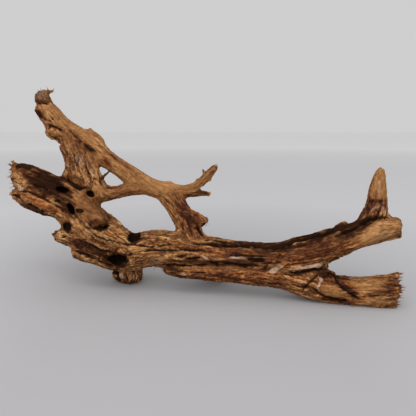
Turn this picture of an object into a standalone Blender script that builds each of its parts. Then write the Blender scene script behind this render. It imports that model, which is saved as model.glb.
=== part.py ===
"""A branching piece of driftwood, about 0.42 m long, that stands on three worn feet.

The wood is drawn as it looks from the front. A point of the drawing is (across, down) in
millimetres on a square sheet held at right angles to the line of sight, and a third number
sets it back behind that sheet along its own line of sight. Limbs are tubes that follow such
points. They are fused into one solid, hollowed by its rot holes and worn flat where it stands.
"""

import math

import bmesh
import bpy
from mathutils import Matrix, Vector

MM = 0.001

# How the sheet is held: its size, its distance from the eye, and the eye's height and tilt
SHEET_CENTRE = 208.0
SHEET_DISTANCE = 462.0
EYE_HEIGHT = 169.0
EYE_TILT = math.radians(9.6)
# Where the eye stands, so that the wood's box is centred on the origin
EYE_ACROSS = 14.2
EYE_BEHIND = -485.6

RING_SPACING = 3.0
RING_POINTS = 20
FUSE_VOXEL = 1.5
LIMB_SMOOTHING = 4
RIM_SMOOTHING = 2
KEEP_TRIANGLES = 6500
FLOOR_SLAB = (600.0, 400.0, 40.0)

WOOD_COLOUR = (0.30, 0.16, 0.07, 1.0)
WOOD_ROUGHNESS = 0.8

# Each limb is a list of stations: across, down, set back, half width, half depth
LIMBS = {
    "trunk": [
        (62, 196, 42, 14, 18),
        (83, 217, 40, 19.5, 24),
        (105, 237.5, 36, 19, 26),
        (130, 250, 32, 17, 26),
        (160, 248, 27, 17.5, 22),
        (190, 251, 22, 17, 20),
        (220, 253, 17, 16.2, 19),
        (250, 257, 12, 14.6, 19),
        (280, 257.5, 8, 15, 19),
        (305, 252, 4, 15.8, 18),
        (330, 244.5, 0, 15.2, 17),
        (350, 238, -3, 13.6, 16),
        (370, 231.5, -6, 13, 15),
        (388, 228, -8, 12, 14),
        (400, 227.5, -9, 11, 12),
    ],
    "lower_log": [
        (163, 270, 24, 2.5, 4),
        (169, 271, 22, 5.5, 8),
        (180, 271, 20, 7, 11),
        (205, 271, 16, 8.5, 13),
        (235, 273.5, 12, 9.5, 14),
        (262, 275.5, 9, 10, 15),
        (282, 278.5, 7, 10.5, 16),
        (300, 283, 4, 12.2, 17),
        (320, 288, 0, 13.5, 17),
        (340, 290.5, -4, 14.5, 17),
        (360, 291, -8, 14.8, 16),
        (373, 291.2, -11, 16.4, 16),
        (386, 291.5, -13, 17.2, 15),
        (397.5, 292.5, -14, 16.4, 14),
    ],
    "fork_heel": [
        (285, 268, 6, 8, 14),
        (303, 267, 4, 7.5, 14),
        (314, 266, 2, 6.5, 12),
        (326.5, 267.5, 2, 6.4, 9),
    ],
    "spike": [
        (367, 231, -4, 14, 12),
        (374, 217, -4, 13.4, 11),
        (376.5, 205, -3, 11.2, 9),
        (377.3, 192, -2, 9.4, 7.5),
        (378.4, 180, 0, 7.2, 6),
        (380.5, 171, 1, 4.9, 4),
        (381.5, 166.5, 1, 2.6, 2.5),
    ],
    "post": [
        (190, 244, 22, 17, 14),
        (188.5, 230, 27, 12, 12),
        (183, 218, 32, 11, 11),
        (177, 207, 36, 10.4, 10),
        (171, 197, 40, 11.5, 10),
        (163, 188, 44, 11, 10),
    ],
    "branch": [
        (180, 192.5, 40, 6.2, 8),
        (165, 191, 42, 9.2, 10),
        (150, 186.5, 46, 9.3, 10),
        (135, 178, 50, 9.4, 10),
        (120, 167.5, 54, 9, 9.5),
        (106, 157.5, 58, 9.7, 10),
        (92, 147, 61, 11.6, 11),
        (77, 138.5, 64, 12.4, 11),
        (62, 129, 67, 13, 10),
        (52, 117, 70, 12, 9),
        (45, 106.5, 72, 9.4, 8),
        (42, 97, 74, 6.8, 6),
        (42, 91.5, 75, 6.2, 5),
    ],
    "tip_hook": [
        (44, 93.5, 74, 3.4, 3.4),
        (49, 91.5, 73, 2.2, 2.2),
        (54, 90, 72, 1.6, 1.6),
    ],
    "branch_flap": [
        (50, 119, 70, 6, 6),
        (42, 114.5, 70, 4.2, 5),
        (36.5, 110.5, 70, 2.8, 3.4),
    ],
    "branch_knob": [
        (64, 137, 66, 7.5, 8),
        (55, 134.5, 65, 6.4, 7),
        (48.5, 131.5, 65, 5.2, 6),
        (46, 130.5, 65, 3.8, 4),
    ],
    "branch_bump": [
        (80, 138, 62, 8, 7),
        (91, 137.5, 61, 8, 7),
        (101, 146, 59, 7, 7),
    ],
    "web": [
        (70, 141, 62, 13.5, 8),
        (77.5, 155, 58, 14, 7),
        (81, 168, 54, 16.5, 7),
        (82, 180, 50, 19, 9),
        (90, 192, 46, 15, 12),
    ],
    "web_rib": [
        (88, 156, 54, 7, 7),
        (93, 170, 50, 6, 7),
        (99, 183, 46, 6, 7),
        (106, 194, 44, 7, 8),
    ],
    "loop_arm": [
        (93, 197, 44, 10, 10),
        (103, 194, 44, 8.2, 9),
        (113, 193.3, 46, 7.4, 7),
        (124, 190.8, 48, 7, 7),
        (136, 187.5, 49, 8.6, 8),
        (150, 186, 46, 9, 9),
    ],
    "right_arm": [
        (168, 191, 42, 8.5, 9),
        (183, 190.6, 40, 6, 7),
        (195, 187, 37, 5.6, 6),
        (204, 179.5, 34, 5, 5),
        (211, 172, 31, 4.4, 4.5),
        (217.5, 165, 29, 3.2, 3.2),
    ],
    "right_twig": [
        (186, 192, 38, 5.4, 6),
        (200, 193, 36, 4, 4),
        (206, 194, 35, 3.2, 3),
        (210, 194, 35, 2.2, 2),
    ],
    "post_stub": [
        (183, 217, 30, 8.6, 8),
        (193, 218.5, 26, 7, 7),
        (200.5, 221.5, 23, 5.8, 6),
        (204.5, 224, 22, 4.2, 5),
    ],
    "post_heel": [
        (188, 238, 22, 8, 9),
        (197, 235, 20, 5, 6),
        (205, 238, 18, 3, 5),
    ],
    "root_upper": [
        (88, 212, 36, 17, 18),
        (70, 200, 40, 16, 17),
        (52, 190, 43, 14.5, 15),
        (35, 180.5, 46, 14, 13),
        (22, 175, 48, 13.3, 11),
        (14.5, 172, 49, 10.4, 9),
    ],
    "root_lower": [
        (92, 232, 34, 16, 18),
        (76, 220, 32, 12, 14),
        (60, 210.5, 31, 8.6, 10),
        (46, 205.8, 32, 10, 9),
        (30, 200.3, 35, 8.8, 8),
        (18, 194.5, 38, 6.5, 6),
        (11, 192, 39, 5, 4),
    ],
    "neck": [
        (58, 212, 31, 6, 8),
        (67, 222, 30, 6.4, 9),
        (68.5, 232, 29, 7, 9),
    ],
    "shelf": [
        (110, 250, 24, 13, 14),
        (88, 243, 26, 10.5, 12),
        (72, 238, 28, 9.5, 9),
        (62, 236.5, 30, 8, 7),
        (54, 233.5, 32, 4.8, 5),
    ],
    "belly": [
        (73.5, 251, 32, 6, 8),
        (84, 252.5, 32, 8.7, 12),
        (98, 255, 31, 9.8, 15),
        (115, 259, 30, 11.5, 17),
        (133, 259, 28, 10.5, 17),
        (152, 256, 26, 11, 16),
        (175, 256, 22, 12, 16),
    ],
    "front_foot": [
        (129, 260, 36, 12, 13),
        (129, 268.5, 52, 13.4, 13),
        (129.5, 275.5, 66, 13.8, 13),
        (129.5, 282.5, 82, 13.4, 12),
    ],
    "rear_foot": [
        (203, 254, 28, 12, 12),
        (210, 261, 46, 11, 11),
        (217, 267, 62, 9, 10),
        (221, 273.5, 78, 8.5, 9),
        (222, 279, 90, 8, 8),
    ],
    "top_nub": [
        (335, 235, -4, 6, 6),
        (342, 227.5, -4, 4.4, 5),
        (346, 223.5, -4, 2.4, 3),
    ],
    "rear_knuckle": [
        (108, 238, 48, 15, 14),
        (101, 231, 66, 11, 11),
        (96, 227, 79, 7.5, 7),
    ],
}

# Each rot hole: across, down, set back of its middle, half length, half width, half depth, turn
HOLLOWS = {
    "knot_hole": (134, 237, 14, 7, 5.4, 13, 0),
    "belly_hollow": (118, 259, 12, 10.5, 5.6, 13, 3),
    "root_pit": (71, 209, 24, 7.5, 3.8, 11, 64),
    "strut_pit": (90.5, 194, 32, 5.4, 3.8, 11, 28),
    "log_pit": (62, 190, 28, 7.5, 3.6, 10, 14),
    "crescent": (100, 226.5, 18, 10, 3.2, 9, 2),
    "strut_crease": (75, 181, 40, 12, 4.8, 10, 20),
}


def sight_axes():
    """The unit vectors across the sheet, up the sheet and away from the eye."""
    away = Vector((0, math.cos(EYE_TILT), -math.sin(EYE_TILT)))
    up = Vector((0, math.sin(EYE_TILT), math.cos(EYE_TILT)))
    return Vector((1, 0, 0)), up, away


def eye_point():
    """Where the eye stands, in millimetres."""
    return Vector((EYE_ACROSS, EYE_BEHIND, EYE_HEIGHT))


def reach_of(back):
    """How much a size on the sheet grows at that distance behind it."""
    return (SHEET_DISTANCE + back) / SHEET_DISTANCE


def set_back(across, down, back):
    """The point, in millimetres, of a place on the sheet set back along its line of sight."""
    right, up, away = sight_axes()
    on_sheet = right * (across - SHEET_CENTRE) + up * (SHEET_CENTRE - down)
    return eye_point() + (on_sheet + away * SHEET_DISTANCE) * reach_of(back)


def smooth_stations(stations):
    """Stations about RING_SPACING apart, on a Catmull-Rom curve through the given ones."""
    made = []
    for i in range(len(stations) - 1):
        around = [stations[max(0, min(len(stations) - 1, k))] for k in range(i - 1, i + 3)]
        before, start, end, after = (Vector(station) for station in around)
        gap = (set_back(*end[:3]) - set_back(*start[:3])).length
        steps = max(1, round(gap / RING_SPACING))
        for step in range(steps):
            t = step / steps
            made.append(
                0.5
                * (
                    2 * start
                    + (end - before) * t
                    + (2 * before - 5 * start + 4 * end - after) * t**2
                    + (3 * start - before - 3 * end + after) * t**3
                )
            )
    return made + [Vector(stations[-1])]


def flutes(angle, along, seed):
    """How far the section stands out at an angle: long ridges that wander round the limb."""
    wander = 0.9 * math.sin(along / 47 + seed)
    return (
        1
        + 0.05 * math.sin(3 * angle + wander + seed)
        + 0.045 * math.sin(5 * angle - 1.7 * wander + 2.3 * seed)
        + 0.03 * math.sin(8 * angle + 2.9 * wander + 4.1 * seed)
    )


def add_limb(bm, stations, seed):
    """Adds one closed, fluted tube along the stations to bm, in millimetres."""
    curve = smooth_stations(stations)
    centres = [set_back(*station[:3]) for station in curve]
    rings = []
    along = 0.0
    for i, station in enumerate(curve):
        ahead = centres[min(i + 1, len(curve) - 1)]
        behind = centres[max(i - 1, 0)]
        tangent = (ahead - behind).normalized()
        sight = (centres[i] - eye_point()).normalized()
        wide = sight.cross(tangent).normalized()
        deep = tangent.cross(wide)
        half_wide = station[3] * reach_of(station[2])
        half_deep = station[4] * reach_of(station[2])
        ring = []
        for k in range(RING_POINTS):
            angle = math.tau * k / RING_POINTS
            out = flutes(angle, along, seed)
            offset = wide * (math.cos(angle) * half_wide) + deep * (math.sin(angle) * half_deep)
            ring.append(bm.verts.new(centres[i] + offset * out))
        rings.append(ring)
        if i + 1 < len(curve):
            along += (centres[i + 1] - centres[i]).length
    for low, high in zip(rings, rings[1:]):
        for k in range(RING_POINTS):
            after = (k + 1) % RING_POINTS
            bm.faces.new((low[k], low[after], high[after], high[k]))
    bm.faces.new(list(reversed(rings[0])))
    bm.faces.new(rings[-1])


def mesh_object(name, bm):
    """A new object in the scene that holds bm's mesh, turned from millimetres to metres."""
    bmesh.ops.recalc_face_normals(bm, faces=bm.faces)
    bm.transform(Matrix.Scale(MM, 4))
    mesh = bpy.data.meshes.new(name)
    bm.to_mesh(mesh)
    bm.free()
    made = bpy.data.objects.new(name, mesh)
    bpy.context.scene.collection.objects.link(made)
    return made


def build_limbs():
    """All limbs in one object, each still a tube of its own."""
    bm = bmesh.new()
    for seed, stations in enumerate(LIMBS.values()):
        add_limb(bm, stations, float(seed))
    return mesh_object("driftwood", bm)


def as_cutter(made):
    """Keeps a cutting shape out of the render."""
    made.hide_render = True
    made.display_type = "WIRE"
    return made


def build_hollow(name, hollow):
    """The cutter of one rot hole: an ellipsoid that points along the line of sight."""
    across, down, back, half_long, half_wide, half_deep, turn = hollow
    middle = set_back(across, down, back)
    right, up, _ = sight_axes()
    sight = (middle - eye_point()).normalized()
    angle = math.radians(-turn)
    long_way = (right * math.cos(angle) + up * math.sin(angle)).normalized()
    wide_way = sight.cross(long_way).normalized()
    axes = Matrix((long_way * half_long, wide_way * half_wide, sight * half_deep)).transposed()
    bm = bmesh.new()
    bmesh.ops.create_icosphere(bm, subdivisions=3, radius=1)
    bm.transform(Matrix.Translation(middle) @ axes.to_4x4())
    return as_cutter(mesh_object(f"cutter_{name}", bm))


def build_floor():
    """The cutter that wears the feet flat: a slab whose top is the floor."""
    bm = bmesh.new()
    bmesh.ops.create_cube(bm, size=1)
    size = Matrix.Diagonal((*FLOOR_SLAB, 1))
    bm.transform(Matrix.Translation((0, 0, -FLOOR_SLAB[2] / 2)) @ size)
    return as_cutter(mesh_object("cutter_floor", bm))


def cut(wood, name, cutter):
    """Takes a cutter out of the wood."""
    boolean = wood.modifiers.new(name, "BOOLEAN")
    boolean.operation = "DIFFERENCE"
    boolean.solver = "EXACT"
    boolean.object = cutter


def triangles_now(wood):
    """How many triangles the wood has with its modifiers so far."""
    graph = bpy.context.evaluated_depsgraph_get()
    mesh = wood.evaluated_get(graph).to_mesh()
    mesh.calc_loop_triangles()
    return len(mesh.loop_triangles)


def fuse(wood, steps):
    """Makes one skin of the wood and softens its edges by that many steps."""
    remesh = wood.modifiers.new("fuse", "REMESH")
    remesh.mode = "VOXEL"
    remesh.voxel_size = FUSE_VOXEL * MM
    smooth = wood.modifiers.new("soften", "SMOOTH")
    smooth.factor = 0.5
    smooth.iterations = steps


def thin_out(wood):
    """Keeps only the triangles that the shape needs."""
    decimate = wood.modifiers.new("thin_out", "DECIMATE")
    decimate.decimate_type = "COLLAPSE"
    decimate.ratio = KEEP_TRIANGLES / triangles_now(wood)


def wood_material():
    """Bare brown wood."""
    material = bpy.data.materials.new("driftwood")
    material.use_nodes = True
    shader = material.node_tree.nodes["Principled BSDF"]
    shader.inputs["Base Color"].default_value = WOOD_COLOUR
    shader.inputs["Roughness"].default_value = WOOD_ROUGHNESS
    shader.inputs["Metallic"].default_value = 0.0
    return material


def main():
    """Clears the scene and builds the driftwood."""
    for old in list(bpy.data.objects):
        bpy.data.objects.remove(old)
    wood = build_limbs()
    fuse(wood, LIMB_SMOOTHING)
    for name, hollow in HOLLOWS.items():
        cut(wood, name, build_hollow(name, hollow))
    fuse(wood, RIM_SMOOTHING)
    thin_out(wood)
    cut(wood, "worn_feet", build_floor())
    wood.data.materials.append(wood_material())


main()
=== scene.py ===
"""The piece of driftwood: its weathered skin, its broken ends and fibres, and a plain studio.

The wood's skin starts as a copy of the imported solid, is remeshed finely and is then carved along
its grain. Places are given as on a drawing: (across, down, set back) in millimetres on a square
sheet that is held at right angles to the line of sight, as the wood is seen from the front.
"""

from __future__ import annotations

import itertools
import logging
import math
from dataclasses import dataclass
from enum import Enum

import bpy
import numpy as np
from mathutils import Matrix, Vector


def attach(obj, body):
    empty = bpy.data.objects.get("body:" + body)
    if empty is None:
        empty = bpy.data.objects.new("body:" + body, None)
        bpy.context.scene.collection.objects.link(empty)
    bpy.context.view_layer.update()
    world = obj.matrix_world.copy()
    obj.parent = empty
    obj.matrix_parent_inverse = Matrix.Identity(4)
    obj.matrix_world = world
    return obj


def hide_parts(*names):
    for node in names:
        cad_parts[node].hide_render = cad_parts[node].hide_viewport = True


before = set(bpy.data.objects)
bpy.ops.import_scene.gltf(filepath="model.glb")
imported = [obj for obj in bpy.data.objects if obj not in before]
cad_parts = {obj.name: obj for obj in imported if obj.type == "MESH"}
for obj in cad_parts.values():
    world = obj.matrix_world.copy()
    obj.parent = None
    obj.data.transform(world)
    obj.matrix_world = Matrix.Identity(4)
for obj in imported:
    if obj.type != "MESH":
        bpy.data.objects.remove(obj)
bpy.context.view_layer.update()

MM = 0.001
BODY = "root"
CAD_NODE = "driftwood"

log = logging.getLogger("driftwood")
Points = np.ndarray
Piece = bpy.types.Object
Mesh = bpy.types.Mesh
Socket = bpy.types.NodeSocket


def smooth_step(low: float, high: float, value: Points) -> Points:
    """A soft step from 0 at low to 1 at high."""
    part = np.clip((value - low) / (high - low), 0.0, 1.0)
    return part * part * (3.0 - 2.0 * part)


def unit(vectors: Points) -> Points:
    """The vectors, one in each row, at length 1."""
    return vectors / np.maximum(np.linalg.norm(vectors, axis=-1, keepdims=True), 1e-9)


@dataclass(frozen=True)
class Sheet:
    """The drawing sheet and the eye that looks at it, in millimetres."""

    centre: float = 208.0
    distance: float = 462.0
    eye: tuple[float, float, float] = (14.2, -485.6, 169.0)
    tilt: float = math.radians(9.6)

    @property
    def right(self) -> Points:
        """The unit vector across the sheet."""
        return np.array([1.0, 0.0, 0.0])

    @property
    def up(self) -> Points:
        """The unit vector up the sheet."""
        return np.array([0.0, math.sin(self.tilt), math.cos(self.tilt)])

    @property
    def away(self) -> Points:
        """The unit vector from the eye through the sheet's centre."""
        return np.array([0.0, math.cos(self.tilt), -math.sin(self.tilt)])

    def place(self, drawn: Points) -> Points:
        """Turns drawn places into points.

        Args:
            drawn: Rows of (across, down, set back).

        Returns:
            Rows of (x, y, z) in millimetres.
        """
        drawn = np.asarray(drawn, float).reshape(-1, 3)
        on_sheet = np.outer(drawn[:, 0] - self.centre, self.right)
        on_sheet += np.outer(self.centre - drawn[:, 1], self.up) + self.distance * self.away
        reach = (self.distance + drawn[:, 2:]) / self.distance
        return np.array(self.eye) + on_sheet * reach

    def draw(self, points: Points) -> Points:
        """Turns points into drawn places, the reverse of place()."""
        seen = points - np.array(self.eye)
        depth = seen @ self.away
        across = self.centre + self.distance * (seen @ self.right) / depth
        down = self.centre - self.distance * (seen @ self.up) / depth
        return np.stack((across, down, depth - self.distance), axis=1)

    def sight(self, points: Points) -> Points:
        """The unit vectors from the eye to the points."""
        return unit(points - np.array(self.eye))


SHEET = Sheet()


@dataclass(frozen=True)
class Limb:
    """One limb's axis: stations of (across, down, set back, half width)."""

    stations: tuple[tuple[float, float, float, float], ...]
    spacing: float = 3.0
    softening: int = 4

    def samples(self) -> tuple[Points, Points, Points, Points]:
        """Even samples of the axis.

        Returns:
            Their points, directions, half widths and distances along the limb.
        """
        table = np.array(self.stations, float)
        corners = SHEET.place(table[:, :3])
        steps = np.linalg.norm(np.diff(corners, axis=0), axis=1)
        reach = np.concatenate(([0.0], np.cumsum(steps)))
        along = np.linspace(0.0, reach[-1], max(3, int(reach[-1] / self.spacing)))
        points = np.stack([np.interp(along, reach, corners[:, k]) for k in range(3)], axis=1)
        for _ in range(self.softening):
            points[1:-1] = (points[:-2] + 2.0 * points[1:-1] + points[2:]) / 4.0
        ways = unit(np.gradient(points, axis=0))
        return points, ways, np.interp(along, reach, table[:, 3]), along


LIMBS: dict[str, Limb] = {
    "trunk": Limb((
        (62, 196, 42, 16), (83, 217, 40, 20), (105, 237, 36, 19), (130, 250, 32, 18),
        (160, 248, 27, 17), (190, 250, 22, 16), (220, 252, 17, 15), (250, 254, 12, 14),
        (280, 254, 8, 14), (305, 250, 4, 15), (330, 244, 0, 15), (350, 238, -3, 14),
        (370, 232, -6, 13), (388, 228, -8, 11), (402, 226, -9, 10),
    )),
    "lower_log": Limb((
        (163, 270, 24, 5), (180, 271, 20, 8), (205, 271, 16, 9), (235, 273, 12, 10),
        (262, 275, 9, 10), (282, 278, 7, 11), (300, 283, 4, 12), (320, 288, 0, 14),
        (340, 290, -4, 14), (360, 292, -8, 14), (380, 291, -12, 16), (402, 289, -14, 16),
    )),
    "spike": Limb((
        (366, 236, -4, 14), (371, 222, -4, 12), (377, 205, -3, 11), (378, 192, -2, 9),
        (379, 180, 0, 7), (381, 165, 1, 4),
    )),
    "post": Limb((
        (196, 246, 20, 14), (190, 232, 26, 12), (184, 218, 32, 11), (178, 207, 36, 10),
        (170, 197, 40, 11), (158, 189, 44, 10),
    )),
    "branch": Limb((
        (176, 192, 40, 8), (165, 190, 42, 9), (150, 186, 46, 10), (135, 177, 50, 10),
        (120, 167, 54, 9), (106, 157, 58, 10), (92, 147, 61, 12), (77, 138, 64, 12),
        (62, 129, 67, 12), (52, 117, 70, 11), (45, 106, 72, 10), (42, 97, 74, 7),
        (43, 88, 75, 5),
    )),
    "web": Limb((
        (68, 138, 62, 12), (74, 153, 58, 13), (79, 167, 54, 14), (84, 180, 50, 14),
        (92, 194, 46, 13),
    )),
    "web_rib": Limb(((88, 156, 54, 7), (93, 170, 50, 6), (99, 183, 46, 6), (106, 194, 44, 7))),
    "loop_arm": Limb((
        (88, 202, 44, 10), (103, 194, 44, 8), (113, 193, 46, 7), (124, 191, 48, 7),
        (136, 187, 49, 8), (150, 186, 46, 9),
    )),
    "right_arm": Limb((
        (160, 190, 42, 9), (183, 190, 40, 6), (195, 187, 37, 5), (204, 179, 34, 5),
        (211, 172, 31, 4), (218, 165, 29, 3),
    )),
    "right_twig": Limb(((184, 192, 38, 6), (200, 193, 36, 4), (212, 194, 35, 2))),
    "post_stub": Limb(((180, 214, 30, 9), (194, 217, 26, 7), (201, 221, 23, 6), (206, 227, 22, 4))),
    "root_upper": Limb((
        (96, 216, 36, 16), (70, 200, 40, 16), (52, 190, 43, 14), (35, 180, 46, 14),
        (22, 175, 48, 13), (8, 170, 49, 10),
    )),
    "root_lower": Limb((
        (96, 234, 34, 16), (76, 220, 32, 12), (60, 210, 31, 9), (46, 205, 32, 9),
        (30, 200, 35, 8), (18, 194, 38, 6), (8, 191, 39, 4),
    )),
    "shelf": Limb((
        (118, 252, 24, 13), (88, 243, 26, 10), (72, 238, 28, 9), (62, 236, 30, 7),
        (52, 233, 32, 4),
    )),
    "belly": Limb((
        (72, 251, 32, 6), (84, 253, 32, 9), (98, 256, 31, 10), (115, 259, 30, 11),
        (133, 259, 28, 10), (152, 256, 26, 11), (180, 256, 22, 12),
    )),
    "front_foot": Limb(((128, 258, 36, 12), (127, 269, 50, 13), (126, 277, 62, 13), (126, 288, 80, 13))),
    "rear_foot": Limb(((203, 252, 28, 12), (210, 261, 46, 11), (217, 268, 60, 9), (222, 284, 86, 8))),
    "rear_knuckle": Limb(((108, 238, 48, 15), (101, 231, 66, 11), (95, 226, 82, 7))),
}


@dataclass(frozen=True)
class Knot:
    """A place that the grain flows round, and its radius."""

    across: float
    down: float
    back: float
    radius: float


@dataclass(frozen=True)
class Ellipse:
    """A mark on the drawing: its middle, its half widths and its turn in degrees."""

    across: float
    down: float
    half_long: float
    half_wide: float
    turn: float

    def reach(self, drawn: Points) -> Points:
        """The drawn places' distance from the mark's middle, 1 on its edge."""
        turn = math.radians(self.turn)
        across, down = drawn[:, 0] - self.across, drawn[:, 1] - self.down
        long_way = across * math.cos(turn) + down * math.sin(turn)
        wide_way = down * math.cos(turn) - across * math.sin(turn)
        return np.hypot(long_way / self.half_long, wide_way / self.half_wide)


@dataclass(frozen=True)
class Pit(Ellipse):
    """A rot hole that points along the line of sight, how much deeper it is carved and how dark its painted
    shade is.
    """

    back: float
    half_deep: float
    depth: float
    dark: float = 1.0


@dataclass(frozen=True)
class Swell(Ellipse):
    """A rise of the wood's face, or a dent where the height is below 0."""

    back: float
    height: float


@dataclass(frozen=True)
class Stain(Ellipse):
    """A soft-edged patch and its strength, from 0 to 1."""

    strength: float


@dataclass(frozen=True)
class Crack:
    """A split that runs along drawn points (across, down), seen from the front."""

    points: tuple[tuple[float, float], ...]
    half_width: float
    depth: float

    def nearest(self, drawn: Points) -> tuple[Points, Points]:
        """The drawn places' distance from the split, and how far along it they are, 0 to 1."""
        best = np.full(len(drawn), np.inf)
        where = np.zeros(len(drawn))
        corners = np.array(self.points, float)
        for k, (start, end) in enumerate(zip(corners, corners[1:])):
            run = end - start
            part = np.clip(((drawn[:, :2] - start) @ run) / (run @ run), 0.0, 1.0)
            gap = np.linalg.norm(drawn[:, :2] - start - part[:, None] * run, axis=1)
            where = np.where(gap < best, (k + part) / (len(corners) - 1), where)
            best = np.minimum(best, gap)
        return best, where


@dataclass(frozen=True)
class BrokenEnd:
    """A limb's torn end: its place, the way it faces, how far it is torn and its loose fibres."""

    across: float
    down: float
    back: float
    way: tuple[float, float, float]
    radius: float
    length: float
    fibres: int

    @property
    def centre(self) -> Points:
        """The end's point."""
        return SHEET.place([(self.across, self.down, self.back)])[0]


class Tone(Enum):
    """The colours that weather and rot leave on the wood, with painted shade among the char and painted
    highlight among the gold.
    """

    CHAR_AND_SHADE = "char_and_shade"
    EMBER = "ember"
    PALE = "pale"
    GOLD_AND_HIGHLIGHT = "gold_and_highlight"


def stains(*patches: tuple[float, float, float, float, float, float]) -> tuple[Stain, ...]:
    """Makes stains, each from (across, down, half long, half wide, turn, strength)."""
    return tuple(Stain(*patch) for patch in patches)


KNOTS = (Knot(134, 236, 14, 7), Knot(120, 258, 12, 9), Knot(90, 194, 30, 5))

# Rot holes; each is darkened with painted shade, by its dark share where given.
PITS = (
    Pit(134.5, 237.5, 8, 5.6, -8, 14, 12, 6.0), Pit(118, 259, 10.5, 6, 3, 12, 12, 5.0),
    Pit(71, 209, 6.5, 3.0, 62, 24, 11, 4.5), Pit(80, 211, 4.4, 2.2, 12, 20, 8, 3.5),
    Pit(90.5, 194, 5, 3.3, 28, 32, 10, 4.0), Pit(62, 190, 6.5, 3.2, 12, 28, 9, 4.5),
    Pit(75, 180.5, 13, 6.0, 20, 40, 14, 1.3, 0.0), Pit(67, 227, 5, 4.6, 75, 22, 10, 5.0, 0.85),
    Pit(58, 201, 3.6, 1.5, 5, 28, 6, 2.5), Pit(100, 228, 9, 1.7, -4, 18, 8, 3.0, 0.9),
    Pit(256, 260, 10, 2.2, 6, -6, 8, 2.6), Pit(18, 167, 3, 2.0, 0, 40, 8, 3.0),
    Pit(182, 256, 6, 2.2, -8, 8, 8, 2.0, 0.6), Pit(88.5, 148.5, 6, 1.4, 35, 52, 6, 1.2, 0.6),
)

SWELLS = (
    Swell(94, 212, 21, 11, 48, 28, 3.0), Swell(99, 220.5, 10, 4.4, 6, 24, 2.0),
    Swell(38, 203, 21, 4.2, 27, 34, 2.2), Swell(332, 290, 15, 6, 22, -16, 2.4),
    Swell(92, 176, 15, 4, 44, 48, 1.8), Swell(76, 160, 12, 7, 74, 56, -2.2),
    Swell(372, 237, 24, 6, -24, -14, 1.4), Swell(110, 239, 20, 4, 18, 24, 1.8),
    Swell(300, 254, 34, 7, -6, -8, 1.4),
)

# Where the wood ends short: seen from the front, it is kept out of these.
BITES = (
    Ellipse(31, 103.5, 6, 3.0, 10), Ellipse(39, 124.5, 5.5, 3.4, 40), Ellipse(203, 200.8, 10, 4.6, 0),
    Ellipse(207, 188.4, 7, 2.4, 0), Ellipse(50, 145, 8, 3, 30), Ellipse(151, 275, 9, 7.4, 0),
    Ellipse(106, 283, 9, 4, 10), Ellipse(121, 287.4, 6, 4.2, 0), Ellipse(209, 211, 6, 3, 30),
    Ellipse(208, 230.5, 5, 3.4, 0), Ellipse(412, 268, 14, 4, 0), Ellipse(6, 187, 9, 1.8, 8),
    Ellipse(40, 222, 10, 4, 22), Ellipse(404, 303, 11, 7, 82), Ellipse(289, 297.5, 8, 3.5, 10),
    Ellipse(313, 309, 12, 6, 10), Ellipse(392.5, 187, 5.5, 13, 0), Ellipse(57, 92, 5, 3, 60),
    Ellipse(96, 184, 6, 3, 75), Ellipse(54.5, 143.5, 5, 3.4, 42), Ellipse(122, 182.8, 3, 1.6, 20),
    Ellipse(101.5, 205.5, 3.6, 2.6, 20), Ellipse(9, 182.5, 5, 3, 20), Ellipse(240, 286.6, 40, 3.8, 5.5),
    Ellipse(407, 231, 10, 5.2, 88),
)

# Splits; each groove is carved and also darkened with painted shade.
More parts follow.
